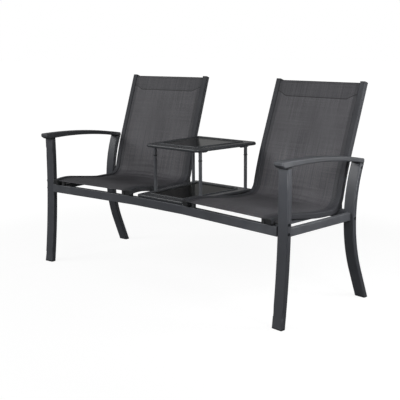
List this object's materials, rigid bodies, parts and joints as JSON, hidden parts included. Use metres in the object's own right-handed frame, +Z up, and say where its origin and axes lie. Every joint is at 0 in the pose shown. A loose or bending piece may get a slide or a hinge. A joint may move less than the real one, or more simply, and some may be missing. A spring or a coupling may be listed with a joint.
{
  "type": "companion seat bench",
  "caption": "Companion seat bench: two sling chairs with armrests share one steel frame, toed in around a raised square table with a shelf below it.",
  "frame": {"origin": "on the ground, in the middle of the bench's outer box", "axes": "+X along the bench to the sitter's left, -Y to the front, +Z up"},
  "size_m": [1.6006, 0.6876, 0.9367],
  "materials": {
    "graphite_steel": "fine matt graphite powder coat",
    "arm_polymer": "graphite, fine texture",
    "sling_fabric": "woven PVC-coated polyester mesh",
    "keder_plastic": "extruded cord",
    "dark_glass": "smooth opaque dark panel",
    "black_plastic": "moulded",
    "pad_rubber": "soft pad",
    "bolt_steel": "black plated"
  },
  "bodies": {
    "root": {"armrest_bolts": "bolt_steel", "armrest_plugs": "black_plastic", "armrest_side_bolts": "bolt_steel", "foot_caps": "black_plastic", "frame_bolts": "bolt_steel", "front_rail": "graphite_steel", "left_armrest": "arm_polymer", "left_back_spreader": "graphite_steel", "left_bend_spreader": "graphite_steel", "left_front_bar": "graphite_steel", "left_front_leg": "graphite_steel", "left_front_tabs": "graphite_steel", "left_hem_bar": "graphite_steel", "left_inner_sling_rail": "graphite_steel", "left_keder_cords": "keder_plastic", "left_nose_caps": "black_plastic", "left_outer_sling_rail": "graphite_steel", "left_rear_leg": "graphite_steel", "left_seat_spreader": "graphite_steel", "left_side_rail": "graphite_steel", "left_sling": "sling_fabric", "left_strut": "graphite_steel", "leg_top_caps": "black_plastic", "lower_posts": "graphite_steel", "nose_pads": "pad_rubber", "post_collars": "black_plastic", "post_plugs": "graphite_steel", "post_screws": "bolt_steel", "rail_end_plugs": "graphite_steel", "rail_top_caps": "black_plastic", "rear_rail": "graphite_steel", "rear_saddles": "graphite_steel", "right_armrest": "arm_polymer", "right_back_spreader": "graphite_steel", "right_bend_spreader": "graphite_steel", "right_front_bar": "graphite_steel", "right_front_leg": "graphite_steel", "right_front_tabs": "graphite_steel", "right_hem_bar": "graphite_steel", "right_inner_sling_rail": "graphite_steel", "right_keder_cords": "keder_plastic", "right_nose_caps": "black_plastic", "right_outer_sling_rail": "graphite_steel", "right_rear_leg": "graphite_steel", "right_seat_spreader": "graphite_steel", "right_side_rail": "graphite_steel", "right_sling": "sling_fabric", "right_strut": "graphite_steel", "seat_bolts": "bolt_steel", "seat_spacers": "graphite_steel", "shelf_brackets": "graphite_steel", "shelf_frame": "graphite_steel", "shelf_panel": "dark_glass", "table_brackets": "graphite_steel", "table_frame": "graphite_steel", "table_panel": "dark_glass", "table_screws": "bolt_steel", "upper_posts": "graphite_steel"}
  },
  "joints": []
}
